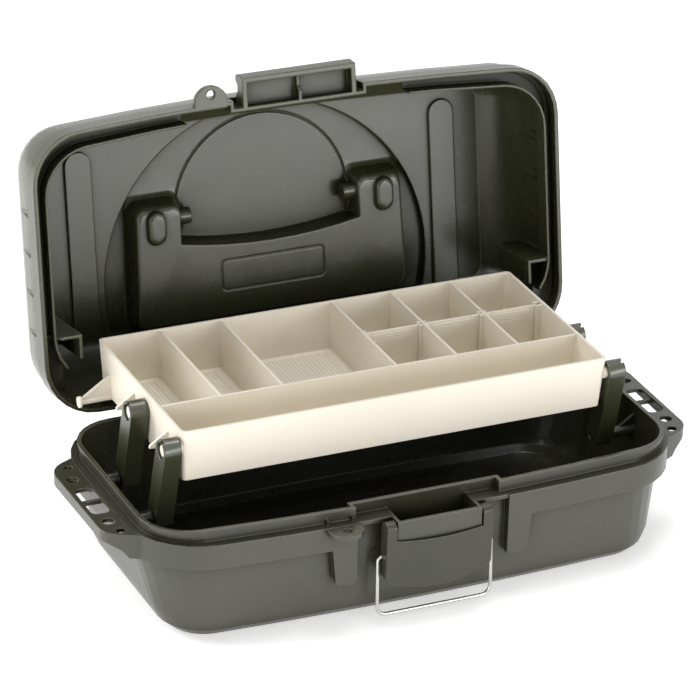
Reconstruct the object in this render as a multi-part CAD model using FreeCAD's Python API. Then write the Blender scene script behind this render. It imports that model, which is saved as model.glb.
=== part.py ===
import FreeCAD, Part
import math
import os

# Fishing tackle box with one cantilever tray, standing open.
# Units are millimetres. X runs along the box, Y from front to back, Z up.
# The origin is the centre of the flat underside of the tub.

# Tub
TUB_H = 65.0
FLOOR_T = 2.5
WALL = 2.3
BAND_Z = 45.2
LEDGE_Z = 58.8
LEDGE_T = 2.2
SKIRT_T = 2.0
# Outlines: half length, front y, front bow, rear y, rear bow, corner radius
TUB_BASE = (139.5, 73.8, 5.0, 66.5, 1.6, 25.0)
TUB_MID = (150.0, 75.4, 6.0, 68.0, 2.0, 39.0)
TUB_LIP = (150.0, 74.2, 8.1, 68.1, 2.0, 27.0)
TUB_BAND = (154.9, 80.1, 8.1, 76.0, 2.0, 41.0)
BASE_FILLET = 12.0

# Lid, drawn closed and then swung open about the hinge axis
RIM_Z = 59.1
LID_RIM = (153.7, 78.9, 6.1, 81.8, 2.0, 29.0)
LID_WALL = 2.2
LID_RING = (150.0, 74.2, 8.1, 68.1, 2.0, 30.0)
RIM_BAND = 11.0
RIM_STEP = 2.0
LID_SIDE = 19.0
EDGE_IN = 28.0
EDGE_UP = 43.0
LID_TOP = 60.2
DISC_R = 96.7
DISC_Y = 34.9
DISC_UP = 4.0
PIVOT_Y = -4.1
PIVOT_OFF = 56.6
HINGE_Y = 80.9
HINGE_Z = 62.94
HINGE_R = 3.3
HINGE_PIN_R = 1.5
LID_OPEN = 99.53

# Tray, lift arms and their pivots
TRAY_X = 122.1
TRAY_FRONT = -32.0
TRAY_BACK = 86.9
TRAY_Z0 = 73.8
TRAY_H = 28.8
TRAY_WALL = 1.6
CROSS_WALLS = (-86.4, -51.3, 14.0, 49.4, 85.7)
LONG_WALL_Y = 1.5
PLATE_Y = 44.6
ARM_X0 = 122.8
ARM_T = 9.6
ARM_R = 6.1
ARM_LEN = 45.0
ARM_LEAN = 14.1
BASE_PIVOT_Z = 49.2
BASE_PIVOT_Y = (-18.0, 29.0)
TRAY_PIN_R = 3.0
BASE_PIN_R = 2.75

# Padlock ears
LOCK_X = -51.2
LOCK_Y = -83.7
LOCK_R = 2.5

# Latch
LEVER_Y = -83.2
LEVER_Z = 54.4
LEVER_HALF = 30.0
LEVER_TOP_R = 4.2
BAIL_Y = -80.8
BAIL_Z = 37.5
BAIL_WIRE_R = 1.0

V = FreeCAD.Vector
X_AXIS = V(1, 0, 0)
Z_AXIS = V(0, 0, 1)


def box(x0, x1, y0, y1, z0, z1):
    """Axis-aligned box between two corners."""
    return Part.makeBox(x1 - x0, y1 - y0, z1 - z0, V(x0, y0, z0))


def rod(x0, x1, y, z, r):
    """True cylinder along X, for pins, bores and other bearing faces."""
    return Part.makeCylinder(r, x1 - x0, V(x0, y, z), X_AXIS)


def chord_angles(r):
    """Angles of a polygon that stays about 0.1 mm off a circle."""
    n = 4 * math.ceil(math.pi / math.acos(1.0 - min(0.5, 0.11 / r)) / 4.0)
    return [2.0 * math.pi * i / n for i in range(n + 1)]


def bar(x0, x1, y, z, r):
    """Round bar along X that nothing turns on, drawn in chords."""
    ring = Part.makePolygon([V(x0, y + r * math.cos(a), z + r * math.sin(a))
                             for a in chord_angles(r)])
    return Part.Face(ring).extrude(V(x1 - x0, 0, 0))


def post(x, y, z0, z1, r):
    """Round post along Z, drawn in chords."""
    ring = Part.makePolygon([V(x + r * math.cos(a), y + r * math.sin(a), z0)
                             for a in chord_angles(r)])
    return Part.Face(ring).extrude(V(0, 0, z1 - z0))


def prism(points, direction):
    """Straight prism on a closed polygon."""
    wire = Part.makePolygon([V(*p) for p in points] + [V(*points[0])])
    return Part.Face(wire).extrude(V(*direction))


def fuse_all(shapes):
    """One shape from many."""
    return shapes[0].multiFuse(shapes[1:]) if len(shapes) > 1 else shapes[0]


def mirrored(shape):
    """Copy on the other side of the X = 0 plane."""
    return shape.mirror(V(0, 0, 0), X_AXIS)


def chorded(edges, steps):
    """Closed polygon that follows the edges in short chords."""
    pts = []
    for edge, n in zip(edges, steps):
        pts.extend(edge.discretize(Number=n + 1)[:-1])
    return Part.makePolygon(pts + [pts[0]])


def tub_outline(spec, inset, z):
    """Rounded rectangle whose front and rear sides bow outward a little."""
    a, yf, bf, yr, br, r = spec
    rf = (a * a + bf * bf) / (2.0 * bf)
    rr = (a * a + br * br) / (2.0 * br)
    cf = -yf + rf
    cr = yr - rr
    fy = cf - math.sqrt((rf - r) ** 2 - (a - r) ** 2)
    ry = cr + math.sqrt((rr - r) ** 2 - (a - r) ** 2)
    aa, r2, rf2, rr2 = a - inset, r - inset, rf - inset, rr - inset
    kf = rf2 / (rf - r)
    kr = rr2 / (rr - r)
    ft = V((a - r) * kf, cf + (fy - cf) * kf, z)
    rt = V((a - r) * kr, cr + (ry - cr) * kr, z)
    fm = V(0, cf - rf2, z)
    rm = V(0, cr + rr2, z)
    fa = math.atan2(fy - cf, a - r) / 2.0
    ra = math.atan2(ry - cr, a - r) / 2.0
    fc = V(a - r + r2 * math.cos(fa), fy + r2 * math.sin(fa), z)
    rc = V(a - r + r2 * math.cos(ra), ry + r2 * math.sin(ra), z)

    def flip(p):
        return V(-p.x, p.y, p.z)

    fs = V(aa, fy, z)
    rs = V(aa, ry, z)
    edges = [
        Part.Arc(flip(ft), fm, ft).toShape(),
        Part.Arc(ft, fc, fs).toShape(),
        Part.LineSegment(fs, rs).toShape(),
        Part.Arc(rs, rc, rt).toShape(),
        Part.Arc(rt, rm, flip(rt)).toShape(),
        Part.Arc(flip(rt), flip(rc), flip(rs)).toShape(),
        Part.LineSegment(flip(rs), flip(fs)).toShape(),
        Part.Arc(flip(fs), flip(fc), flip(ft)).toShape(),
    ]
    return chorded(edges, (6, 7, 1, 7, 2, 7, 1, 7))


def slab(spec, inset, z0, z1):
    """Straight-sided slab on an outline."""
    return Part.Face(tub_outline(spec, inset, z0)).extrude(V(0, 0, z1 - z0))


def blend_spec(k):
    """Outline between the base and the band, at share k of the height."""
    return tuple(p + (q - p) * k for p, q in zip(TUB_BASE, TUB_MID))


def tub_body(inset, floor, radius, top):
    """Tub solid: rounded underside, sloping walls and an upright lip."""
    base = []
    for deg in (0, 30, 60, 90):
        a = math.radians(deg)
        z = floor + radius * (1.0 - math.cos(a))
        more = radius * (1.0 - math.sin(a))
        base.append(tub_outline(blend_spec(z / BAND_Z), inset + more, z))
    walls = [base[-1], tub_outline(TUB_MID, inset, BAND_Z),
             tub_outline(TUB_LIP, inset, TUB_H)]
    if top > TUB_H:
        walls.append(tub_outline(TUB_LIP, inset, top))
    return Part.makeLoft(base + walls[1:], True, True)


def polygon_round(corners, z, steps=0):
    """Closed wire through corners given as x, y, fillet radius."""
    n = len(corners)
    starts, ends, mids = [], [], []
    for i in range(n):
        x, y, r = corners[i]
        p = V(x, y, z)
        a = V(corners[i - 1][0], corners[i - 1][1], z).sub(p)
        b = V(corners[(i + 1) % n][0], corners[(i + 1) % n][1], z).sub(p)
        a.normalize()
        b.normalize()
        half = math.acos(max(-1.0, min(1.0, a.dot(b)))) / 2.0
        t = r / math.tan(half) if r > 0 else 0.0
        bis = a.add(b)
        bis.normalize()
        starts.append(p.add(a.multiply(t)))
        ends.append(p.add(b.multiply(t)))
        mids.append(p.add(bis.multiply(r / math.sin(half) - r)))
    edges, counts = [], []
    for i in range(n):
        if corners[i][2] > 0:
            edges.append(Part.Arc(starts[i], mids[i], ends[i]).toShape())
            counts.append(steps)
        j = (i + 1) % n
        if ends[i].sub(starts[j]).Length > 1e-6:
            edges.append(Part.LineSegment(ends[i], starts[j]).toShape())
            counts.append(1)
    return chorded(edges, counts) if steps else Part.Wire(edges)


def plate(corners, z0, z1):
    """Flat plate on a rounded polygon."""
    return Part.Face(polygon_round(corners, z0, 4)).extrude(V(0, 0, z1 - z0))


def half_round(y, r, z0, z1):
    """Half-round padlock ear with its hole."""
    tab = post(LOCK_X, y, z0, z1, r)
    tab = tab.cut(box(LOCK_X - r, LOCK_X + r, y + 3.4, y + r + 1, z0 - 1, z1 + 1))
    return tab.cut(post(LOCK_X, LOCK_Y, z0 - 1, z1 + 1, LOCK_R))


def ear_outline(z):
    """Plan of the carrying ear on the right-hand end of the tub."""
    return [(144.0, -54.6, 0), (168.2, -41.9, 12.0), (169.1, 35.0, 15.0),
            (144.0, 47.3, 0)]


def end_ear():
    """Pierced ear with a turned-down rim and deeper gussets at its ends."""
    outer = ear_outline(0)
    inner = [(142.0, -51.3, 0), (166.3, -38.6, 10.0), (167.1, 31.8, 13.0),
             (142.0, 44.2, 0)]
    top = plate(outer, LEDGE_Z - 2.4, LEDGE_Z - 0.2)
    ring = plate(outer, BAND_Z, LEDGE_Z - 0.2).cut(
        plate(inner, BAND_Z - 1, LEDGE_Z))
    cut_pts = [V(156.0, -70, BAND_Z - 1), V(172, -70, BAND_Z - 1),
               V(172, -70, 52.6), V(167.2, -70, 52.6)]
    curve = Part.Arc(V(167.2, -70, 52.6), V(160.6, -70, 49.6),
                     V(156.0, -70, BAND_Z - 1)).toShape()
    lines = [Part.LineSegment(cut_pts[i], cut_pts[i + 1]).toShape()
             for i in range(3)]
    relief = Part.Face(Part.Wire(lines + [curve])).extrude(V(0, 140, 0))
    ear = top.fuse(ring.cut(relief))
    holes = [post(159.6, 32.1, 50, 62, 2.5), post(162.3, 18.9, 50, 62, 3.25),
             post(161.2, -30.3, 50, 62, 3.4), post(158.6, -42.0, 50, 62, 2.7)]
    slot = plate([(156, -21, 3.2), (166, -21, 3.2), (166, 8, 3.2),
                  (156, 8, 3.2)], 50, 62)
    rib = box(155.5, 166.5, -4.9, -3.3, LEDGE_Z - 3.6, LEDGE_Z - 1.2)
    return ear.cut(fuse_all(holes + [slot])).fuse(rib)


def base_pivot(y):
    """Boss, thin pin and gusset on the right-hand end wall of the tub."""
    boss = bar(134.0, 149.0, y, BASE_PIVOT_Z, 3.2)
    boss = boss.fuse(bar(132.8, 134.4, y, BASE_PIVOT_Z, 3.9))
    pin = rod(ARM_X0 + 0.6, 133.5, y, BASE_PIVOT_Z, BASE_PIN_R)
    web = prism([(137.5, y - 0.9, BASE_PIVOT_Z + 2), (149, y - 0.9, BASE_PIVOT_Z + 2),
                 (149, y - 0.9, BASE_PIVOT_Z + 10.2)], (0, 1.8, 0))
    return fuse_all([boss, pin, web])


def hinge_lug(x0, x1):
    """Tub hinge lug: a rounded eye standing on the rear band."""
    body = prism([(x0, 74.4, 49.0), (x0, 74.9, 58.8), (x0, 78.1, 64.7),
                  (x0, 83.4, 60.8), (x0, 75.6, 49.0)], (x1 - x0, 0, 0))
    return body.fuse(bar(x0, x1, HINGE_Y, HINGE_Z, HINGE_R))


def tub_shell():
    """Outer solid and hollow of the thin-walled tub."""
    outer = tub_body(0.0, 0.0, BASE_FILLET, TUB_H)
    cave = tub_body(WALL, FLOOR_T, BASE_FILLET - 2.2, TUB_H + 5.0)
    return outer, cave


def front_pad(side):
    """Drop-down pad of the band beside the latch."""
    outer = slab(TUB_BAND, 0.0, 20.0, LEDGE_Z)
    inner = slab(TUB_BAND, SKIRT_T, 19.0, LEDGE_Z - LEDGE_T)
    ring = outer.cut(inner)
    face = Part.Face(polygon_xz([(43.0, 24.0, 2.2), (54.6, 24.0, 3.0),
                                 (56.9, 45.8, 1.0), (60.0, 45.8, 0),
                                 (60.0, 60.0, 0), (43.0, 60.0, 0)], -95.0))
    pad = ring.common(face.extrude(V(0, 40.0, 0)))
    wall = box(43.0, 45.0, -78.9, -73.6, 24.6, LEDGE_Z)
    edge = prism([(52.2, -78.4, 25.4), (54.2, -78.4, 25.4), (56.4, -78.4, BAND_Z + 2),
                  (54.4, -78.4, BAND_Z + 2)], (0, 5.4, 0))
    pad = fuse_all([pad, wall, edge])
    return pad if side > 0 else mirrored(pad)


def polygon_xz(corners, y):
    """Rounded polygon standing in an XZ plane."""
    wire = polygon_round(corners, 0)
    turn = FreeCAD.Rotation(X_AXIS, 90)
    wire.Placement = FreeCAD.Placement(V(0, y, 0), turn).multiply(wire.Placement)
    return wire


def latch_pocket():
    """Open-topped pocket, shelf bits and lever pivots on the front wall."""
    shell = box(-24.0, 24.0, -86.4, -66.7, 41.0, 59.0)
    stubs = fuse_all([rod(23.5, 27.6, LEVER_Y, LEVER_Z, 1.75),
                      rod(-27.6, -23.5, LEVER_Y, LEVER_Z, 1.75)])
    shelf = box(-45.0, 45.0, -78.4, -72.0, LEDGE_Z - LEDGE_T, LEDGE_Z)
    return fuse_all([shell.fuse(shelf), stubs])


def lip_ticks():
    """Two small upright ribs on the ledge beside the padlock ear."""
    return fuse_all([box(-59.0, -57.8, -75.2, -71.0, LEDGE_Z - 1, LEDGE_Z + 2.4),
                     box(-45.2, -44.0, -75.6, -72.0, LEDGE_Z - 1, LEDGE_Z + 2.4)])


def base_tub():
    """Tub with band, ears, latch pocket, hinge lugs and arm pivots."""
    outer, cave = tub_shell()
    band = slab(TUB_BAND, 0.0, BAND_Z, LEDGE_Z)
    band = band.cut(slab(TUB_BAND, SKIRT_T, BAND_Z - 1, LEDGE_Z - LEDGE_T))
    gap = box(-43.0, 43.0, -90.0, -70.0, BAND_Z - 1, LEDGE_Z + 1)
    ears = end_ear()
    step_block = box(-44.3, 41.6, -76.0, -66.7, LEDGE_Z - LEDGE_T, TUB_H)
    step_block = step_block.common(outer)
    recess = box(-42.0, 39.3, -90.0, -69.0, LEDGE_Z, TUB_H + 1)
    padlock = half_round(-80.6, 9.8, LEDGE_Z - 3.0, LEDGE_Z - 0.3)
    solid = fuse_all([outer, band.cut(gap), ears, mirrored(ears),
                      front_pad(1), front_pad(-1), padlock])
    solid = solid.cut(cave)
    solid = solid.fuse(step_block).cut(recess)
    pivots = [base_pivot(y) for y in BASE_PIVOT_Y]
    pivots = pivots + [mirrored(p) for p in pivots]
    lugs = [hinge_lug(55.0, 61.0), hinge_lug(83.0, 89.0)]
    lugs = lugs + [mirrored(p) for p in lugs]
    solid = fuse_all([solid, latch_pocket(), lip_ticks()] + pivots + lugs)
    bores = rod(54.0, 90.0, HINGE_Y, HINGE_Z, HINGE_PIN_R)
    pocket = box(-22.2, 22.2, -84.6, -69.0, 43.0, 66.0)
    cuts = fuse_all([bores, mirrored(bores), pocket])
    return solid.cut(cuts).removeSplitter()


def edge_inset(off, up, run):
    """How far the rounded lid edge has drawn in at a given height."""
    if off <= LID_SIDE:
        return 0.0
    t = min(1.0, (off - LID_SIDE) / up)
    return run * (1.0 - math.sqrt(1.0 - t * t))


def lid_solid(inset, top, cut_in):
    """Domed lid solid: straight sides, then an elliptical edge."""
    wires = []
    for off in (LID_SIDE, 30.0, 39.0, 46.0, 51.5, 56.0, top):
        more = edge_inset(off, EDGE_UP - cut_in, EDGE_IN - cut_in)
        wires.append(tub_outline(LID_RIM, inset + more, RIM_Z + off))
    dome = Part.makeLoft(wires, True, True)
    side = slab(LID_RIM, inset, RIM_Z - 1.0, RIM_Z + LID_SIDE)
    return dome.fuse(side)


def pocket_plan(face, z):
    """U-shaped plan of the handle recess; face draws the sides in."""
    x1 = 82.0 - face
    x0 = 51.5 + face * 0.5
    top = -17.1 + face * 1.6
    arc_mid = V(0, 13.4 + face * 0.4, z)
    arc_end = V(x0, 8.4 + face * 0.4, z)
    low = 58.0 - face
    rr = 6.0
    c = rr * (1 - math.sqrt(0.5))

    def flip(p):
        return V(-p.x, p.y, p.z)

    p1 = V(x0, top + 4.0, z)
    p1m = V(x0 + 1.2, top + 1.2, z)
    p2 = V(x0 + 4.0, top, z)
    p3 = V(x1 - rr, top, z)
    p3m = V(x1 - c, top + c, z)
    p4 = V(x1, top + rr, z)
    p5 = V(x1 + 1.5, low - rr, z)
    p5m = V(x1 + 1.5 - c, low - c, z)
    p6 = V(x1 + 1.5 - rr, low, z)
    edges = [Part.Arc(flip(arc_end), arc_mid, arc_end).toShape(),
             Part.LineSegment(arc_end, p1).toShape(),
             Part.Arc(p1, p1m, p2).toShape(),
             Part.LineSegment(p2, p3).toShape(),
             Part.Arc(p3, p3m, p4).toShape(),
             Part.LineSegment(p4, p5).toShape(),
             Part.Arc(p5, p5m, p6).toShape(),
             Part.LineSegment(p6, flip(p6)).toShape(),
             Part.Arc(flip(p6), flip(p5m), flip(p5)).toShape(),
             Part.LineSegment(flip(p5), flip(p4)).toShape(),
             Part.Arc(flip(p4), flip(p3m), flip(p3)).toShape(),
             Part.LineSegment(flip(p3), flip(p2)).toShape(),
             Part.Arc(flip(p2), flip(p1m), flip(p1)).toShape(),
             Part.LineSegment(flip(p1), flip(arc_end)).toShape()]
    return chorded(edges, (8, 1, 3, 1, 4, 1, 4, 1, 4, 1, 4, 1, 3, 1))


def pocket_solid(face0, face1, off0, off1):
    """Drafted solid on the recess plan."""
    wires = [pocket_plan(face0, RIM_Z + off0), pocket_plan(face1, RIM_Z + off1)]
    return Part.makeLoft(wires, True, True)


def lid_catch():
    """Hooked catch in front of the set-back rim, with two open cells."""
    profile = [(-73.0, 0.0), (-73.0, 9.6), (-79.6, 9.6), (-82.0, 7.7),
               (-85.4, 7.4), (-87.4, 9.9), (-90.4, 9.6), (-91.0, 7.6), (-90.1, 0.0)]
    body = prism([(-33.0, y, RIM_Z + o) for y, o in profile], (66.0, 0, 0))
    cells = fuse_all([box(1.0, 30.4, -87.3, -74.2, RIM_Z - 1, RIM_Z + 5.8),
                      box(-30.4, -0.6, -87.3, -74.2, RIM_Z - 1, RIM_Z + 5.8)])
    dip = prism([(-1.0, -87.3, RIM_Z - 1), (-1.0, -87.3, RIM_Z + 2.8),
                 (-1.0, -81.5, RIM_Z + 2.5), (-1.0, -78.0, RIM_Z - 1)], (2.5, 0, 0))
    return body.cut(cells.fuse(dip))


def catch_recess():
    """Recess in the lid's front wall behind the catch, and its inner wall."""
    x0, x1, y0, top = -38.5, 37.0, -74.1, RIM_Z + 12.0
    wall = box(x0 - 1.8, x1 + 1.8, -77.5, y0 + 1.9, RIM_Z, top + 1.8)
    return wall, box(x0, x1, -92.0, y0, RIM_Z - 1, top)


def lid_inner_parts(hollow):
    """Ribs, brackets, recess bulge and bosses inside the lid."""
    parts = []
    for s in (1, -1):
        rib = box(101.0, 116.0, -40.6, 74.0, RIM_Z + 56.0, RIM_Z + 59.0)
        rib = rib.fuse(post(108.5, -40.6, RIM_Z + 56.0, RIM_Z + 59.0, 7.5))
        for y in (-29.1, -7.1, 14.9, 36.9):
            rib = rib.fuse(post(151.2, y, RIM_Z + 14.0, RIM_Z + 34.0, 3.6))
        bracket = box(132.2, 133.8, 37.3, 48.9, RIM_Z - 4.0, RIM_Z + 36.0)
        leg = box(132.2, 151.0, 35.7, 37.3, RIM_Z - 4.0, RIM_Z + 40.0)
        foot = prism([(139.0, 30.0, RIM_Z - 5), (152.5, 30.0, RIM_Z - 5),
                      (152.5, 30.0, RIM_Z + 6.8), (147.0, 30.0, RIM_Z + 6.8),
                      (145.0, 30.0, RIM_Z + 1.0)], (0, 20, 0))
        guide = bracket.fuse(leg).cut(foot)
        bump = Part.makeLoft([oblong(d, RIM_Z + o) for d, o in
                              ((2.6, 45.3), (1.1, 46.0), (0.3, 47.2), (0.0, 51.0))],
                             True, True)
        piece = fuse_all([rib, guide, bump])
        parts.append(piece if s > 0 else mirrored(piece))
    bulge = Part.makeLoft([pocket_plan(d, RIM_Z + o) for d, o in
                           ((4.6, 49.0), (3.4, 49.6), (2.6, 51.0), (2.1, 53.5),
                            (0.9, 60.0), (-0.2, 61.4), (-1.6, 62.4))], True, True)
    return fuse_all(parts + [bulge]).common(hollow)


def oblong(inset, z):
    """Outline of the oblong bump on the handle recess."""
    x0, x1, y0, y1 = 62.2 + inset, 73.8 - inset, -11.4 + inset, 8.1 - inset
    r = (x1 - x0) / 2.0 - 0.1
    return polygon_round([(x0, y0, r), (x1, y0, r), (x1, y1, r), (x0, y1, r)], z, 4)


def lid_recesses():
    """Everything cut from the outside of the lid."""
    cuts = [pocket_solid(4.5, 2.2, 51.2, 68.0)]
    for s in (1, -1):
        groove = box(103.2, 113.8, -40.6, 74.0, RIM_Z + 58.3, RIM_Z + 66.0)
        groove = groove.fuse(post(108.5, -40.6, RIM_Z + 58.3, RIM_Z + 66.0, 5.3))
        for y in (-29.1, -7.1, 14.9, 36.9):
            groove = groove.fuse(post(152.6, y, RIM_Z + 14.0, RIM_Z + 34.0, 2.2))
        well = plate([(64.3, -9.3, 3.6), (71.7, -9.3, 3.6), (71.7, 6.0, 3.6),
                      (64.3, 6.0, 3.6)], RIM_Z + 47.4, RIM_Z + 52.0)
        piece = groove.fuse(well)
        cuts.append(piece if s > 0 else mirrored(piece))
    return fuse_all(cuts)


def handle_bosses():
    """Bosses beside the recess that carry the handle pivots."""
    boss = bar(45.6, 52.8, PIVOT_Y, RIM_Z + PIVOT_OFF, 4.7)
    fin = prism([(49.6, PIVOT_Y, RIM_Z + 52.2), (49.6, 9.5, RIM_Z + 61.0),
                 (49.6, 9.5, RIM_Z + 62.5), (49.6, -14.0, RIM_Z + 62.5)], (2.0, 0, 0))
    one = boss.fuse(fin)
    return one.fuse(mirrored(one))


def lid_closed():
    """The lid in its closed place."""
    outer = slab(LID_RIM, 0.0, RIM_Z, RIM_Z + RIM_BAND)
    dome = lid_solid(RIM_STEP, LID_TOP, 0.0)
    dome = dome.cut(box(-200, 200, -200, 200, RIM_Z - 5, RIM_Z))
    roof_in = RIM_STEP + edge_inset(LID_TOP, EDGE_UP, EDGE_IN)
    roof = slab(LID_RIM, roof_in, RIM_Z + 55.0, RIM_Z + LID_TOP + DISC_UP)
    disc = post(0, DISC_Y, RIM_Z + 55.0, RIM_Z + LID_TOP + DISC_UP, DISC_R + LID_WALL)
    solid = fuse_all([outer, dome, roof.common(disc)])
    hollow = lid_solid(RIM_STEP + LID_WALL, 58.0, LID_WALL)
    ceiling_in = RIM_STEP + LID_WALL
    ceiling_in += edge_inset(58.0, EDGE_UP - LID_WALL, EDGE_IN - LID_WALL)
    ceiling = slab(LID_RIM, ceiling_in, RIM_Z + 50.0, RIM_Z + 62.0)
    hollow = hollow.fuse(ceiling.common(
        post(0, DISC_Y, RIM_Z + 50.0, RIM_Z + 62.0, DISC_R)))
    skirt_in = slab(LID_RIM, LID_WALL, RIM_Z - 1, RIM_Z + RIM_BAND - 2.2)
    line = post(0, -2.7, RIM_Z + 61.0, RIM_Z + 62.8, 52.6).cut(
        post(0, -2.7, RIM_Z + 60.0, RIM_Z + 63.0, 51.4))
    solid = solid.cut(fuse_all([hollow, skirt_in, line]))
    front_wall = slab(LID_RIM, 0.0, RIM_Z, RIM_Z + 20.0)
    rib_ring = slab(LID_RING, 3.1, RIM_Z + 1.5, RIM_Z + 12.0).cut(
        slab(LID_RING, 4.4, RIM_Z, RIM_Z + 13.0))
    tie = slab(LID_RIM, 1.5, RIM_Z + 10.4, RIM_Z + 12.0).cut(
        slab(LID_RING, 4.4, RIM_Z, RIM_Z + 13.0))
    rib_ring = rib_ring.cut(box(-65, 65, -100, -50, RIM_Z - 1, RIM_Z + 13))
    rib_ring = rib_ring.cut(box(-140, 140, 40, 100, RIM_Z - 1, RIM_Z + 13))
    tie = tie.cut(box(-65, 65, -100, -50, RIM_Z - 1, RIM_Z + 13))
    tie = tie.cut(box(-140, 140, 40, 100, RIM_Z - 1, RIM_Z + 13))
    knuckle = bar(61.4, 82.6, HINGE_Y, HINGE_Z, HINGE_R)
    padlock = half_round(-79.0, 9.6, RIM_Z, RIM_Z + 3.0)
    set_back, recess = catch_recess()
    gaps = box(54.4, 61.4, 75.0, 86.0, RIM_Z - 1, RIM_Z + 8.0)
    gaps = gaps.fuse(box(82.6, 89.6, 75.0, 86.0, RIM_Z - 1, RIM_Z + 8.0))
    solid = fuse_all([solid, lid_inner_parts(hollow), rib_ring, tie, knuckle,
                      mirrored(knuckle), padlock, set_back.common(front_wall)])
    solid = solid.cut(recess).fuse(lid_catch())
    solid = solid.cut(lid_recesses())
    solid = solid.fuse(handle_bosses())
    bore = rod(50.5, 55.0, PIVOT_Y, RIM_Z + PIVOT_OFF, 2.07)
    bore = bore.fuse(rod(54.0, 90.0, HINGE_Y, HINGE_Z, HINGE_PIN_R + 0.06))
    solid = solid.cut(fuse_all([gaps, mirrored(gaps), bore, mirrored(bore)]))
    return solid.cut(panel_line()).removeSplitter()


def panel_line():
    """Shallow outlined panel pressed into the inner face of the recess."""
    z0, z1 = RIM_Z + 48.0, RIM_Z + 49.4
    big = plate([(-31, 22.4, 3), (31, 22.4, 3), (31, 40.4, 3), (-31, 40.4, 3)], z0, z1)
    small = plate([(-30, 23.4, 2.2), (30, 23.4, 2.2), (30, 39.4, 2.2),
                   (-30, 39.4, 2.2)], z0, z1)
    return big.cut(small)


def swing_open(shape):
    """Turn a closed-lid shape about the hinge axis into the open rest pose."""
    out = shape.copy()
    out.rotate(V(0, HINGE_Y, HINGE_Z), X_AXIS, -LID_OPEN)
    return out


def carry_handle():
    """Folding U handle lying in the lid recess."""
    z0, z1 = RIM_Z + 52.6, RIM_Z + 61.6
    outer = plate([(-75.5, -9.0, 0), (75.5, -9.0, 0), (75.5, 49.6, 9.0),
                   (-75.5, 49.6, 9.0)], z0, z1)
    window = plate([(-57.5, -16.0, 0), (57.5, -16.0, 0), (57.5, 33.5, 6.0),
                    (-57.5, 33.5, 6.0)], z0 - 1, z1 + 1)
    frame = outer.cut(window)
    ends = box(-80.0, 80.0, -20.0, PIVOT_Y, z0 - 1, z1 + 1)
    ends = ends.cut(bar(-81.0, 81.0, PIVOT_Y, RIM_Z + PIVOT_OFF, 4.9))
    frame = frame.cut(ends)
    stub = rod(51.0, 58.5, PIVOT_Y, RIM_Z + PIVOT_OFF, 2.0)
    return fuse_all([frame, stub, mirrored(stub)]).removeSplitter()


def hinge_pin(side):
    """Steel pin through two tub lugs and the lid knuckle between them."""
    pin = rod(55.0, 89.0, HINGE_Y, HINGE_Z, HINGE_PIN_R)
    return pin if side > 0 else mirrored(pin)


def tray_box(inset, z0, z1):
    """Tray outline, slightly narrower at the bottom than at the top."""
    wires = []
    for z in (z0, z1):
        k = (TRAY_Z0 + TRAY_H - z) / TRAY_H * 2.0
        x = TRAY_X - inset - k
        y0 = TRAY_FRONT + inset + k
        y1 = TRAY_BACK - inset - k
        r = 2.6
        wires.append(polygon_round([(-x, y0, r), (x, y0, r), (x, y1, r),
                                    (-x, y1, r)], z, 3))
    return Part.makeLoft(wires, True, True)


def tray_guides():
    """Slotted guides on the cross walls for the removable plates."""
    z0, z1 = TRAY_Z0 + 1.5, TRAY_Z0 + TRAY_H - 1.0
    parts = []
    for x in (14.0, 49.4, 85.7, 121.2):
        for dy in (-2.0, 2.0):
            y = PLATE_Y + dy
            x0 = x - (4.4 if x > 121.0 else 2.6) if x > 14.0 else x
            x1 = x + 2.6 if x < 121.0 else x
            parts.append(box(x0, x1, y - 0.8, y + 0.8, z0, z1))
    return parts


def tray_end():
    """Pivots, stops and rear rod on the right-hand end of the tray."""
    parts = []
    lean = math.radians(ARM_LEAN)
    z = BASE_PIVOT_Z + ARM_LEN * math.cos(lean)
    for y0 in BASE_PIVOT_Y:
        y = y0 - ARM_LEN * math.sin(lean)
        parts.append(rod(121.0, ARM_X0 + ARM_T - 1.1, y, z, TRAY_PIN_R))
        w = y + 17.0
        parts.append(prism([(120.6, w - 0.8, 86.2), (120.6, w - 0.8, 95.4),
                            (131.6, w - 0.8, 87.6), (131.6, w - 0.8, 86.2)],
                           (0, 1.6, 0)))
    parts.append(bar(120.0, 138.5, 71.6, 75.0, 1.6))
    parts.append(bar(137.5, 138.9, 71.6, 75.0, 3.1))
    parts.append(prism([(120.0, 70.7, 75.0), (138.0, 70.7, 75.0),
                        (138.0, 70.7, 76.4), (120.5, 70.7, 88.6)], (0, 1.8, 0)))
    return parts


def tray():
    """Ten-compartment tray with moulded pivots on both ends."""
    top = TRAY_Z0 + TRAY_H
    outer = tray_box(0.0, TRAY_Z0, top)
    inner = tray_box(TRAY_WALL, TRAY_Z0 + 1.5, top + 0.0)
    shell = outer.cut(inner)
    walls = [box(-121.0, 121.0, LONG_WALL_Y - 0.7, LONG_WALL_Y + 0.7,
                 TRAY_Z0 + 1, top - 0.4)]
    for x in CROSS_WALLS:
        walls.append(box(x - 0.7, x + 0.7, LONG_WALL_Y, TRAY_BACK - 1.2,
                         TRAY_Z0 + 1, top - 0.4))
    walls = walls + tray_guides()
    core = fuse_all(walls).common(outer)
    ends = tray_end()
    ends = ends + [mirrored(p) for p in ends]
    return fuse_all([shell, core] + ends).removeSplitter()


def tray_divider(x0, x1):
    """Removable plate with a stiffened top edge."""
    z0, z1 = TRAY_Z0 + 1.7, TRAY_Z0 + TRAY_H - 1.4
    body = box(x0, x1, PLATE_Y - 0.7, PLATE_Y + 0.7, z0, z1)
    lines = [box(x0 + 4.5, x1 - 4.5, PLATE_Y - 1.0, PLATE_Y - 0.6, z1 - d - 0.7, z1 - d)
             for d in (1.6, 3.2, 4.8, 6.4, 8.0)]
    return fuse_all([body] + lines).removeSplitter()


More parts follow.
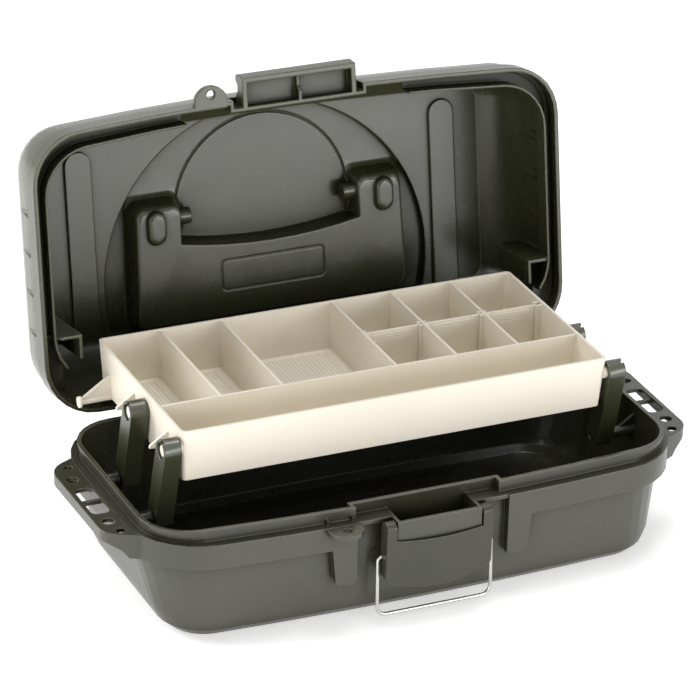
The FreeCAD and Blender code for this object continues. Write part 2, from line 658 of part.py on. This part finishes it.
def arm(index, side, snug):
    """Lift arm with round ends and a snap recess round the tray pin."""
    y0 = BASE_PIVOT_Y[index]
    top = (y0, BASE_PIVOT_Z + ARM_LEN)
    x0, x1 = ARM_X0, ARM_X0 + ARM_T
    body = fuse_all([bar(x0, x1, y0, BASE_PIVOT_Z, ARM_R),
                     bar(x0, x1, top[0], top[1], ARM_R),
                     box(x0, x1, y0 - ARM_R, y0 + ARM_R, BASE_PIVOT_Z, top[1])])
    extra = 0.06 if snug else 0.3
    holes = [rod(x0 - 1, x1 + 1, y0, BASE_PIVOT_Z, BASE_PIN_R + 0.06),
             rod(x0 - 1, x1 + 1, top[0], top[1], TRAY_PIN_R + extra),
             rod(x1 - 1.6, x1 + 1, top[0], top[1], 4.5)]
    mouth = box(x1 - 1.6, x1 + 1, y0 - 1.4, y0 + 1.4, top[1], top[1] + 8)
    body = body.cut(fuse_all(holes + [mouth]))
    body.rotate(V(0, y0, BASE_PIVOT_Z), X_AXIS, ARM_LEAN)
    body = body.removeSplitter()
    return body if side > 0 else mirrored(body)


def lever_front():
    """Front elevation of the latch lever with its window."""
    h = LEVER_HALF
    face = Part.Wire([
        Part.Arc(V(-h + 3, 0, 24.6), V(0, 0, 19.2), V(h - 3, 0, 24.6)).toShape(),
        Part.Arc(V(h - 3, 0, 24.6), V(h - 0.9, 0, 25.7), V(h, 0, 28.0)).toShape(),
        Part.LineSegment(V(h, 0, 28.0), V(h, 0, 62.0)).toShape(),
        Part.LineSegment(V(h, 0, 62.0), V(-h, 0, 62.0)).toShape(),
        Part.LineSegment(V(-h, 0, 62.0), V(-h, 0, 28.0)).toShape(),
        Part.Arc(V(-h, 0, 28.0), V(-h + 0.9, 0, 25.7), V(-h + 3, 0, 24.6)).toShape()])
    return face


def latch_lever():
    """Latch lever: curved plate, side cheeks and a window over the pocket."""
    wire = lever_front()
    wire.translate(V(0, -92.0, 0))
    front = Part.Face(wire).extrude(V(0, 16.0, 0))
    rear_y = LEVER_Y + LEVER_TOP_R
    plan = Part.Wire([
        Part.Arc(V(-30.5, -86.9, 15), V(0, -88.0, 15), V(30.5, -86.9, 15)).toShape(),
        Part.LineSegment(V(30.5, -86.9, 15), V(30.5, rear_y, 15)).toShape(),
        Part.LineSegment(V(30.5, rear_y, 15), V(-30.5, rear_y, 15)).toShape(),
        Part.LineSegment(V(-30.5, rear_y, 15), V(-30.5, -86.9, 15)).toShape()])
    block = front.common(Part.Face(plan).extrude(V(0, 0, 50)))
    head = rod(-40, 40, LEVER_Y, LEVER_Z, LEVER_TOP_R)
    keep = head.fuse(box(-40, 40, -92, rear_y, 10, LEVER_Z))
    block = block.common(keep)
    hollow = box(-27.9, 27.9, -84.9, -70.0, 10.0, 47.0)
    window = box(-24.7, 24.7, -95.0, -70.0, 48.4, 70.0)
    sill = Part.Wire([
        Part.Arc(V(-24.7, -95, 48.6), V(0, -95, 46.9), V(24.7, -95, 48.6)).toShape(),
        Part.LineSegment(V(24.7, -95, 48.6), V(-24.7, -95, 48.6)).toShape()])
    window = window.fuse(Part.Face(sill).extrude(V(0, 25, 0)))
    inner = box(-24.7, 24.7, -86.7, -70.0, 36.0, 49.0)
    block = block.cut(fuse_all([hollow, window, inner]))
    bore = rod(-27.9, 27.9, LEVER_Y, LEVER_Z, 1.81)
    pins = rod(-31, 31, BAIL_Y, BAIL_Z, BAIL_WIRE_R + 0.06)
    relief = box(-24.7, 24.7, -80.0, -70.0, 30.0, 60.0)
    return block.cut(fuse_all([bore, pins, relief])).removeSplitter()


def bend(x, z, r, a0, a1, steps):
    """Points along a wire bend in the plane of the bail."""
    pts = []
    for i in range(steps + 1):
        a = math.radians(a0 + (a1 - a0) * i / steps)
        pts.append((x + r * math.cos(a), z + r * math.sin(a)))
    return pts


def latch_bail():
    """Round wire loop hooked into the cheeks of the lever."""
    w, zb, r, rt = 32.5, 4.4, 5.0, 2.3
    half = [(28.2, BAIL_Z)] + bend(w - rt, BAIL_Z - rt, rt, 90, 0, 4)
    half = half + bend(w - r, zb + r, r, 0, -90, 5)
    pts = half + [(-x, z) for x, z in reversed(half)]
    path = Part.makePolygon([V(x, BAIL_Y, z) for x, z in pts])
    n = 14
    ring = []
    for i in range(n):
        a = 2.0 * math.pi * i / n
        ring.append(V(28.2, BAIL_Y + BAIL_WIRE_R * math.cos(a),
                      BAIL_Z + BAIL_WIRE_R * math.sin(a)))
    ring = Part.makePolygon(ring + [ring[0]])
    bail = path.makePipeShell([ring], True, False, 1)
    bail.rotate(V(0, BAIL_Y, BAIL_Z), X_AXIS, -3.0)
    return bail


def save(name, shape):
    """Write one subcomponent."""
    solid = shape
    if shape.ShapeType != "Solid" and len(shape.Solids) == 1:
        solid = shape.Solids[0]
    print(name, solid.ShapeType, len(shape.Solids), solid.isValid(),
          round(solid.Volume / 1000.0, 2))
    solid.exportStep("parts/" + name + ".step")


def main():
    """Build and write every subcomponent."""
    os.makedirs("parts", exist_ok=True)
    save("base_tub", base_tub())
    save("lid_shell", swing_open(lid_closed()))
    save("carry_handle", swing_open(carry_handle()))
    save("hinge_pin_right", hinge_pin(1))
    save("hinge_pin_left", hinge_pin(-1))
    save("latch_lever", latch_lever())
    save("latch_bail", latch_bail())
    save("tray", tray())
    spans = ((14.9, 48.5), (50.3, 84.8), (86.6, 117.9))
    for i, (x0, x1) in enumerate(spans):
        save("tray_divider_%d" % (i + 1), tray_divider(x0, x1))
    save("arm_front_left", arm(0, -1, True))
    save("arm_front_right", arm(0, 1, False))
    save("arm_rear_left", arm(1, -1, False))
    save("arm_rear_right", arm(1, 1, False))


main()
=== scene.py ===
import math

import bpy
from mathutils import Matrix, Vector


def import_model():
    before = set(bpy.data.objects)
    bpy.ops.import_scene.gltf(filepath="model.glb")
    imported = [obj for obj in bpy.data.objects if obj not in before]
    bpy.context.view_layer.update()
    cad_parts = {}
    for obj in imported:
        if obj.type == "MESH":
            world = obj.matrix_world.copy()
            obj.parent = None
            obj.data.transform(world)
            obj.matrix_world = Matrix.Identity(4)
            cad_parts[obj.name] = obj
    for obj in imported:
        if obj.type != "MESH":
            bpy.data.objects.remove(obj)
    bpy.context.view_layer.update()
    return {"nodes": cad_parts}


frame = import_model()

# Camera, in the row frame: degrees, metres and millimetres of lens
AZIMUTH = -24.94
ELEVATION = 25.788
ROLL = 1.723
DISTANCE = 2.148842
SHIFT_RIGHT = -0.011433
SHIFT_UP = 0.044205
TARGET_Z = 0.065
LENS = 208.2
SENSOR = 36.0

# Colours, linear
OLIVE = (0.029, 0.0295, 0.017)
OLIVE_LID = (0.035, 0.0375, 0.018)
OLIVE_LEVER = (0.029, 0.029, 0.019)
ARM_GREEN = (0.030, 0.034, 0.014)
BEIGE = (0.82, 0.758, 0.645)
STEEL = (0.54, 0.54, 0.51)
PIN_STEEL = (0.5, 0.5, 0.49)
WORN_STEEL = (0.85, 0.85, 0.84)
# Colour of the painted shade in corners and creases
PAINTED_SHADE = (0.004, 0.004, 0.002)
FLOOR = (0.92, 0.92, 0.92)
WHITE = (1.0, 1.0, 1.0)

# Strength of the pale floor and of the world. Rays from the camera, and those that gloss
# or glass send on, meet the "seen" strength. All other rays meet the "lit" one.
FLOOR_SEEN = 0.50
FLOOR_LIT = 1.30
WORLD_SEEN = 1.0
WORLD_LIT = 0.30

# The floor lies just under the object's feet
FLOOR_REACH = 6.0
FLOOR_Z = -0.0002

# Lamps: place, point lit, width and height in metres, watts
LAMPS = {
    "key": ((0.95, -1.9, 0.40), (0, 0, 0.10), (1.6, 0.8), 20.0),
    "top": ((0.15, 0.15, 1.9), (0, 0.02, 0.05), (0.8, 0.8), 17.0),
    "side": ((-1.7, -0.9, 0.5), (0, 0, 0.10), (0.9, 0.8), 8.0),
    "back": ((-1.4, 0.9, 1.0), (0, 0.05, 0.1), (1.0, 1.0), 22.0),
}

# Ribs on the tray's floors, in metres in the row frame
RIB_PITCH = 0.0023
RIB_SPANS = ((-0.1175, -0.0915), (-0.0845, -0.0565), (-0.0495, 0.0085))
RIB_DEPTH = (0.004, 0.080)
RIB_HEIGHT = (0.0735, 0.0758)
RIB_BUMP = 0.0004
# Colour factor of the painted shade in the rib grooves
RIB_PAINTED_SHADE = 0.72

# Noise scales, in cells per metre
MOTTLE = 14.0
SCUFF = 60.0
TARNISH = 120.0
STREAK = 500.0
GRAIN = 900.0

GRAIN_BUMP = 0.0001
WIRE_EDGE = 0.0003
BEVEL_SAMPLES = 12
CORNER_SAMPLES = 8

# Plastics: grain is the strength of the fine bump, the wear factor how much paler a
# rubbed edge is, as part real wear and part painted highlight, tint the mottling, bevel
# the radius of soft edges and the shade reach the reach of the painted shade in corners,
# both in metres
PLASTICS = {
    "olive_tub": dict(colour=OLIVE, rough=0.28, grain=0.08, wear_and_highlight=3.2, tint=0.10,
                      bevel=0.0009, ior=1.66, painted_shade_reach=0.012),
    "olive_lid": dict(colour=OLIVE_LID, rough=0.25, grain=0.06, wear_and_highlight=3.0, tint=0.10,
                      bevel=0.0012, ior=1.58, painted_shade_reach=0.022),
    "olive_lever": dict(colour=OLIVE_LEVER, rough=0.32, grain=0.08, wear_and_highlight=4.0, tint=0.08,
                        bevel=0.0008, ior=1.5),
    "arm_green": dict(colour=ARM_GREEN, rough=0.30, grain=0.08, wear_and_highlight=2.8, tint=0.08,
                      bevel=0.0008, ior=1.8),
    "tray_beige": dict(colour=BEIGE, rough=0.36, grain=0.06, wear_and_highlight=1.4, tint=0.02,
                       bevel=0.0005, ior=1.5, ribs=True),
    "plate_beige": dict(colour=BEIGE, rough=0.38, grain=0.06, wear_and_highlight=1.4, tint=0.02,
                        bevel=0.0003, ior=1.5),
}

# Metals: colour and smoothest roughness
METALS = {
    "bright_wire": (STEEL, 0.16),
    "pin_steel": (PIN_STEEL, 0.3),
}

# Node, its material, its slot and the angle in degrees from which an edge stays sharp
SHARP_FROM = 24.0
DRESS = (
    ("base_tub", "olive_tub", "olive_plastic", SHARP_FROM),
    ("lid_shell", "olive_lid", "olive_plastic", 30.0),
    ("carry_handle", "olive_tub", "olive_plastic", SHARP_FROM),
    ("latch_lever", "olive_lever", "olive_plastic", SHARP_FROM),
    ("latch_bail", "bright_wire", "bright_wire", 60.0),
    ("hinge_pin_left", "pin_steel", "pin_steel", SHARP_FROM),
    ("hinge_pin_right", "pin_steel", "pin_steel", SHARP_FROM),
    ("tray", "tray_beige", "tray_plastic", SHARP_FROM),
    ("tray_divider_1", "plate_beige", "tray_plastic", SHARP_FROM),
    ("tray_divider_2", "plate_beige", "tray_plastic", SHARP_FROM),
    ("tray_divider_3", "plate_beige", "tray_plastic", SHARP_FROM),
    ("arm_front_left", "arm_green", "arm_plastic", SHARP_FROM),
    ("arm_front_right", "arm_green", "arm_plastic", SHARP_FROM),
    ("arm_rear_left", "arm_green", "arm_plastic", SHARP_FROM),
    ("arm_rear_right", "arm_green", "arm_plastic", SHARP_FROM),
)
WELD_REACH = 0.00001

scene = bpy.context.scene


def camera():
    """Camera at the viewing angle of the photographed object."""
    az, el, ro = (math.radians(v) for v in (AZIMUTH, ELEVATION, ROLL))
    back = Vector((math.sin(az) * math.cos(el), -math.cos(az) * math.cos(el),
                   math.sin(el)))
    right = Vector((0, 0, 1)).cross(back).normalized()
    up = back.cross(right)
    r0 = right * math.cos(ro) + up * math.sin(ro)
    r1 = up * math.cos(ro) - right * math.sin(ro)
    place = back * DISTANCE + r0 * SHIFT_RIGHT + r1 * SHIFT_UP
    place.z += TARGET_Z
    data = bpy.data.cameras.new("cam")
    data.lens = LENS
    data.sensor_width = SENSOR
    data.clip_start = 0.1
    data.clip_end = 50.0
    cam = bpy.data.objects.new("cam", data)
    cam.matrix_world = Matrix((
        (r0.x, r1.x, back.x, place.x),
        (r0.y, r1.y, back.y, place.y),
        (r0.z, r1.z, back.z, place.z),
        (0, 0, 0, 1)))
    scene.collection.objects.link(cam)
    scene.camera = cam


class Nodes:
    """Short helper round a node tree."""

    def __init__(self, tree, output="ShaderNodeOutputMaterial"):
        self.tree = tree
        self.tree.nodes.clear()
        self.out = self.add(output)

    def add(self, kind, **values):
        """New node with its properties set."""
        node = self.tree.nodes.new(kind)
        for key, value in values.items():
            setattr(node, key, value)
        return node

    def link(self, a, b):
        self.tree.links.new(a, b)

    def fill(self, socket, value):
        """Links a socket to the input, or writes a number or colour into it."""
        if isinstance(value, bpy.types.NodeSocket):
            self.link(value, socket)
        elif isinstance(value, (int, float)):
            socket.default_value = value
        else:
            socket.default_value = (*value, 1.0)

    def math(self, op, a, b=0.0):
        node = self.add("ShaderNodeMath", operation=op)
        self.fill(node.inputs[0], a)
        self.fill(node.inputs[1], b)
        return node.outputs[0]

    def mix(self, fac, a, b):
        """Colour mix; a and b are colours or sockets."""
        node = self.add("ShaderNodeMix", data_type="RGBA")
        self.fill(node.inputs[0], fac)
        self.fill(node.inputs[6], a)
        self.fill(node.inputs[7], b)
        return node.outputs[2]

    def span(self, value, lo, hi, a=0.0, b=1.0):
        """Value mapped from a..b to lo..hi, clamped."""
        node = self.add("ShaderNodeMapRange")
        node.inputs["From Min"].default_value = a
        node.inputs["From Max"].default_value = b
        node.inputs["To Min"].default_value = lo
        node.inputs["To Max"].default_value = hi
        self.link(value, node.inputs["Value"])
        return node.outputs["Result"]

    def window(self, value, lo, hi, fade=0.0004):
        """1 between lo and hi, with a short fade at both ends."""
        rise = self.span(value, 0.0, 1.0, lo, lo + fade)
        fall = self.span(value, 1.0, 0.0, hi - fade, hi)
        return self.math("MULTIPLY", rise, fall)

    def noise(self, scale, detail, rough=0.55, stretch=(1, 1, 1)):
        """Noise on the object, in cells per metre."""
        coord = self.add("ShaderNodeTexCoord")
        mapping = self.add("ShaderNodeMapping")
        mapping.inputs["Scale"].default_value = stretch
        self.link(coord.outputs["Object"], mapping.inputs["Vector"])
        tex = self.add("ShaderNodeTexNoise")
        tex.inputs["Scale"].default_value = scale
        tex.inputs["Detail"].default_value = detail
        tex.inputs["Roughness"].default_value = rough
        self.link(mapping.outputs["Vector"], tex.inputs["Vector"])
        return tex.outputs["Fac"]

    def place(self):
        """Sockets of the X, Y and Z place on the object, in metres."""
        coord = self.add("ShaderNodeTexCoord")
        split = self.add("ShaderNodeSeparateXYZ")
        self.link(coord.outputs["Object"], split.inputs[0])
        return split.outputs

    def bevel(self, radius):
        """Normal with edges rounded to the radius."""
        node = self.add("ShaderNodeBevel", samples=BEVEL_SAMPLES)
        node.inputs["Radius"].default_value = radius
        return node.outputs["Normal"]

    def edge(self, radius):
        """Mask that is 1 on sharp edges, from the bevelled normal."""
        geo = self.add("ShaderNodeNewGeometry")
        dot = self.add("ShaderNodeVectorMath", operation="DOT_PRODUCT")
        self.link(self.bevel(radius), dot.inputs[0])
        self.link(geo.outputs["Normal"], dot.inputs[1])
        return self.span(dot.outputs["Value"], 0.0, 1.0, 0.975, 0.84)

    def openness(self, reach):
        """1 in the open, lower in corners narrower than the reach."""
        node = self.add("ShaderNodeAmbientOcclusion", samples=CORNER_SAMPLES)
        node.inputs["Distance"].default_value = reach
        return self.span(node.outputs["AO"], 0.0, 1.0, 0.42, 0.96)

    def bump(self, height, strength, distance, normal=None):
        """Normal raised by the height."""
        node = self.add("ShaderNodeBump")
        node.inputs["Strength"].default_value = strength
        node.inputs["Distance"].default_value = distance
        self.link(height, node.inputs["Height"])
        if normal is not None:
            self.link(normal, node.inputs["Normal"])
        return node.outputs["Normal"]

    def seen(self):
        """1 for rays from the camera and for those sent on by gloss or glass."""
        path = self.add("ShaderNodeLightPath")
        mask = path.outputs["Is Camera Ray"]
        for kind in ("Is Glossy Ray", "Is Transmission Ray"):
            mask = self.math("MAXIMUM", mask, path.outputs[kind])
        return mask


def new_material(name):
    """Empty material and its node helper."""
    mat = bpy.data.materials.new(name)
    mat.use_nodes = True
    return mat, Nodes(mat.node_tree)


def shaded(colour, factor):
    return tuple(c * factor for c in colour)


def floor_ribs(n):
    """Height and cover of the fine ribs on the three wide rear compartments' floors."""
    x, y, z = n.place()
    wave = n.math("SINE", n.math("MULTIPLY", x, 2.0 * math.pi / RIB_PITCH))
    cover = 0.0
    for lo, hi in RIB_SPANS:
        cover = n.math("ADD", n.window(x, lo, hi), cover)
    cover = n.math("MULTIPLY", cover, n.window(y, *RIB_DEPTH))
    cover = n.math("MULTIPLY", cover, n.window(z, *RIB_HEIGHT))
    height = n.math("MULTIPLY", n.span(wave, 0.0, 1.0, -1.0, 1.0), cover)
    return height, cover


def plastic(name, colour, rough, grain, wear_and_highlight, tint, bevel, ior, painted_shade_reach=0.0, ribs=False):
    """Moulded plastic: soft mottling, fine grain, rubbed edges paled as part wear and
    part painted highlight, and painted shade in corners.
    """
    mat, n = new_material(name)
    bsdf = n.add("ShaderNodeBsdfPrincipled")
    scuff = n.noise(SCUFF, 6.0, 0.7, (1.0, 3.0, 1.0))
    base = n.mix(n.span(n.noise(MOTTLE, 3.0), 0.0, 1.0, 0.3, 0.7),
                 shaded(colour, 1.0 - tint), shaded(colour, 1.0 + tint))
    # Rubbed edges paled, part real wear and part painted highlight along the rims
    rubbed_and_highlit = n.math("MULTIPLY", n.edge(bevel), n.span(scuff, 0.1, 1.0, 0.35, 0.65))
    worn_and_highlit = tuple(min(1.0, c * wear_and_highlight + 0.01) for c in colour)
    base = n.mix(n.math("MULTIPLY", rubbed_and_highlit, 0.55), base, worn_and_highlit)
    normal = n.bevel(bevel)
    if ribs:
        height, cover = floor_ribs(n)
        # Painted shade in the grooves between the ribs
        painted_groove_shade = n.math("SUBTRACT", cover, height)
        base = n.mix(n.math("MULTIPLY", painted_groove_shade, 0.6), base, shaded(colour, RIB_PAINTED_SHADE))
        normal = n.bump(height, 1.0, RIB_BUMP, normal)
    # Painted shade: darker colour and weaker reflection in corners narrower than the
    # reach
    if painted_shade_reach:
        openness = n.openness(painted_shade_reach)
        base = n.mix(n.span(openness, 0.45, 0.0), base, PAINTED_SHADE)
        n.link(n.span(openness, 0.12, 0.5), bsdf.inputs["Specular IOR Level"])
    n.link(base, bsdf.inputs["Base Color"])
    n.link(n.span(scuff, rough - 0.03, rough + 0.05, 0.3, 0.7), bsdf.inputs["Roughness"])
    bsdf.inputs["IOR"].default_value = ior
    fine = n.noise(GRAIN, 3.0, 0.6)
    n.link(n.bump(fine, grain, GRAIN_BUMP, normal), bsdf.inputs["Normal"])
    n.link(bsdf.outputs["BSDF"], n.out.inputs["Surface"])
    return mat


def metal(name, colour, rough):
    """Drawn steel: fine lengthwise scratches, light tarnish and bright edges."""
    mat, n = new_material(name)
    bsdf = n.add("ShaderNodeBsdfPrincipled")
    streak = n.noise(STREAK, 4.0, 0.6, (1.0, 1.0, 0.06))
    spots = n.noise(TARNISH, 5.0, 0.6)
    base = n.mix(n.span(spots, 0.0, 0.6, 0.52, 0.75), colour, shaded(colour, 0.72))
    base = n.mix(n.math("MULTIPLY", n.edge(WIRE_EDGE), 0.3), base, WORN_STEEL)
    n.link(base, bsdf.inputs["Base Color"])
    bsdf.inputs["Metallic"].default_value = 1.0
    n.link(n.span(streak, rough, rough + 0.14, 0.3, 0.7), bsdf.inputs["Roughness"])
    n.link(n.bump(streak, 0.12, GRAIN_BUMP), bsdf.inputs["Normal"])
    n.link(bsdf.outputs["BSDF"], n.out.inputs["Surface"])
    return mat


def floor_material():
    """Pale floor: shows as plain white, and keeps the object's shadow."""
    mat, n = new_material("pale_floor")
    bsdf = n.add("ShaderNodeBsdfDiffuse")
    n.fill(bsdf.inputs["Color"], FLOOR)
    glow = n.add("ShaderNodeEmission")
    n.link(n.span(n.seen(), FLOOR_LIT, FLOOR_SEEN), glow.inputs["Strength"])
    both = n.add("ShaderNodeAddShader")
    n.link(bsdf.outputs["BSDF"], both.inputs[0])
    n.link(glow.outputs["Emission"], both.inputs[1])
    n.link(both.outputs["Shader"], n.out.inputs["Surface"])
    return mat


def floor():
    """Wide flat floor under the object."""
    r = FLOOR_REACH
    mesh = bpy.data.meshes.new("floor")
    mesh.from_pydata([(-r, -r, 0), (r, -r, 0), (r, r, 0), (-r, r, 0)], [], [(0, 1, 2, 3)])
    mesh.materials.append(floor_material())
    obj = bpy.data.objects.new("floor", mesh)
    obj.location.z = FLOOR_Z
    scene.collection.objects.link(obj)


def world():
    """White world, bright where it is seen and dimmer where it lights."""
    scene.world = bpy.data.worlds.new("world")
    scene.world.use_nodes = True
    n = Nodes(scene.world.node_tree, "ShaderNodeOutputWorld")
    both = n.add("ShaderNodeMixShader")
    n.link(n.seen(), both.inputs[0])
    for socket, strength in ((both.inputs[1], WORLD_LIT), (both.inputs[2], WORLD_SEEN)):
        sky = n.add("ShaderNodeBackground")
        n.fill(sky.inputs["Color"], WHITE)
        n.fill(sky.inputs["Strength"], strength)
        n.link(sky.outputs[0], socket)
    n.link(both.outputs[0], n.out.inputs["Surface"])


def lamp(name, place, aim, size, power):
    """Soft rectangular lamp that faces the point it lights."""
    data = bpy.data.lights.new(name, "AREA")
    data.shape = "RECTANGLE"
    data.size, data.size_y = size
    data.energy = power
    obj = bpy.data.objects.new(name, data)
    obj.location = place
    obj.rotation_mode = "QUATERNION"
    obj.rotation_quaternion = (Vector(aim) - Vector(place)).to_track_quat("-Z", "Y")
    scene.collection.objects.link(obj)


def edge_key(edge, spots):
    """The two ends of an edge by place, the same for both faces that meet there."""
    return tuple(sorted((spots[edge[0]], spots[edge[1]])))


def sharp_edges(mesh, angle):
    """Per edge, whether its faces meet at more than the angle."""
    spots = [tuple(round(c, 6) for c in v.co) for v in mesh.vertices]
    meet = {}
    for poly in mesh.polygons:
        for edge in poly.edge_keys:
            meet.setdefault(edge_key(edge, spots), []).append(poly.normal.copy())
    limit = math.cos(math.radians(angle))
    sharp = []
    for edge in mesh.edges:
        sides = meet.get(edge_key(edge.vertices, spots), [])
        sharp.append(len(sides) != 2 or sides[0].dot(sides[1]) < limit)
    return sharp


def soften(obj, angle):
    """Shade smooth, except across edges sharper than the angle."""
    mesh = obj.data
    if "custom_normal" in mesh.attributes:
        mesh.attributes.remove(mesh.attributes["custom_normal"])
    sharp = sharp_edges(mesh, angle)
    marks = mesh.attributes.get("sharp_edge")
    if marks is None:
        marks = mesh.attributes.new("sharp_edge", "BOOLEAN", "EDGE")
    marks.data.foreach_set("value", sharp)
    mesh.polygons.foreach_set("use_smooth", [True] * len(mesh.polygons))
    weld = obj.modifiers.new("weld", "WELD")
    weld.merge_threshold = WELD_REACH
    weigh = obj.modifiers.new("weigh", "WEIGHTED_NORMAL")
    weigh.keep_sharp = True


def dress(name, material, angle):
    """Give one CAD node its material and its soft shading."""
    obj = frame["nodes"][name]
    obj.data.materials.clear()
    obj.data.materials.append(material)
    soften(obj, angle)


scene.view_settings.view_transform = "Standard"
camera()
floor()
world()
for lamp_name, values in LAMPS.items():
    lamp(lamp_name, *values)

materials = {name: plastic(name, **values) for name, values in PLASTICS.items()}
materials.update({name: metal(name, *values) for name, values in METALS.items()})
for node_name, material_name, slot_name, sharp_angle in DRESS:
    dress(node_name, materials[material_name], sharp_angle)
